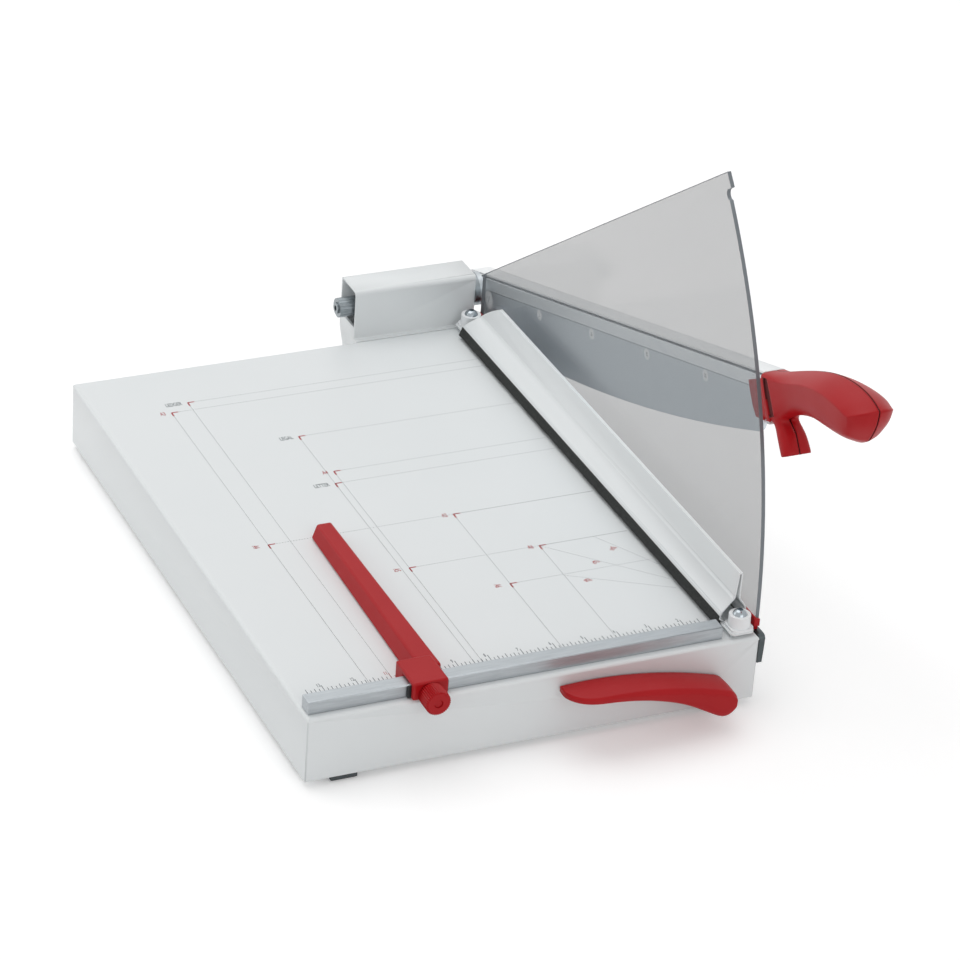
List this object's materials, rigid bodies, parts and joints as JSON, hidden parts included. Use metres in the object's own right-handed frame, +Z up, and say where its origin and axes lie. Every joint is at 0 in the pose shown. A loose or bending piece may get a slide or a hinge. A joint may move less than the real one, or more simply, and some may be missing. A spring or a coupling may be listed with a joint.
{
  "type": "paper trimmer",
  "caption": "Lever-arm paper trimmer with a folded steel table, curved knife arm, smoked finger guard, lever-drawn paper clamp, side ruler and sliding backstop.",
  "frame": {"origin": "centre of the overall box at the bottom of the feet, with the arm part-way open", "axes": "+X towards the knife side, +Y from the ruler towards the pivot housing, +Z up"},
  "size_m": [0.3852, 0.6396, 0.3729],
  "materials": {
    "grey_paint": "smooth light grey enamel",
    "foot_rubber": "matt",
    "steel": "plain",
    "aluminium": "satin anodised",
    "knife_steel": "blackened, ground edge",
    "cast_block": "machined",
    "bronze": "turned",
    "smoked_clear": "polished smoked clear sheet",
    "red_plastic": "fine satin grain",
    "white_plastic": "satin",
    "zinc_steel": "zinc plated",
    "blade_steel": "ground",
    "black_foam": "soft foam",
    "chrome": "polished",
    "black_plastic": "satin"
  },
  "bodies": {
    "base": {"base_tray": "grey_paint", "rubber_feet": "foot_rubber", "foot_screws": "steel", "side_ruler": "aluminium", "ruler_screws": "steel", "bed_knife": "knife_steel", "knife_screws": "steel", "pivot_housing": "grey_paint", "housing_screws": "steel", "housing_nuts": "steel", "pivot_block": "cast_block", "block_screws": "steel", "pivot_bushes": "bronze", "thrust_washer": "bronze", "guard": "smoked_clear", "guard_rail": "red_plastic", "guard_pins": "red_plastic", "post_guides": "white_plastic", "lever_bushes": "bronze", "return_spring_front": "steel", "return_spring_rear": "steel"},
    "arm": {"arm_bar": "zinc_steel", "arm_cover": "grey_paint", "blade": "blade_steel", "blade_screws": "zinc_steel", "handle_left": "red_plastic", "handle_right": "red_plastic", "handle_screws": "steel", "pivot_shaft": "steel", "hub_washer": "steel", "spring_washers": "steel", "shaft_nut": "steel", "nut_screw": "steel"},
    "clamp": {"clamp_bar": "grey_paint", "clamp_foam": "black_foam", "post_sleeves": "white_plastic", "clamp_posts": "chrome", "pull_yokes": "zinc_steel"},
    "lever": {"clamp_lever": "red_plastic", "lever_shaft": "steel", "lever_pin": "steel", "cranks": "zinc_steel", "shaft_clips": "steel"},
    "backstop": {"backstop": "red_plastic", "backstop_shoe": "black_plastic"},
    "knob": {"thumb_knob": "red_plastic", "knob_screw": "steel"}
  },
  "joints": [
    {"name": "arm_hinge", "type": "hinge", "parent": "base", "child": "arm", "pos_m": [0.1625, 0.29898, 0.081], "axis": [-1, 0, 0], "range_deg": [-17.9, 17.1]},
    {"name": "lever_turn", "type": "hinge", "parent": "base", "child": "lever", "pos_m": [0.119, -0.20602, 0.0235], "axis": [0, -1, 0], "range_deg": [0, 13.8], "stiffness_Nm_per_rad": 0.1, "springref_deg": -28.65},
    {"name": "clamp_slide", "type": "slide", "parent": "base", "child": "clamp", "axis": [0, 0, 1], "range_m": [-0.0029, 0], "stiffness_N_per_m": 80, "springref_m": 0.0673, "deforming": ["return_spring_front", "return_spring_rear"]},
    {"name": "backstop_slide", "type": "slide", "parent": "base", "child": "backstop", "axis": [1, 0, 0], "range_m": [-0.07, 0.205]},
    {"name": "knob_turn", "type": "hinge", "parent": "backstop", "child": "knob", "pos_m": [-0.1016, -0.20602, 0.0615], "axis": [0, 1, 0], "range_deg": [0, 180]}
  ],
  "couplings": [
    {"joint": "clamp_slide", "follows": "lever_turn", "m_per_rad": -0.012}
  ]
}
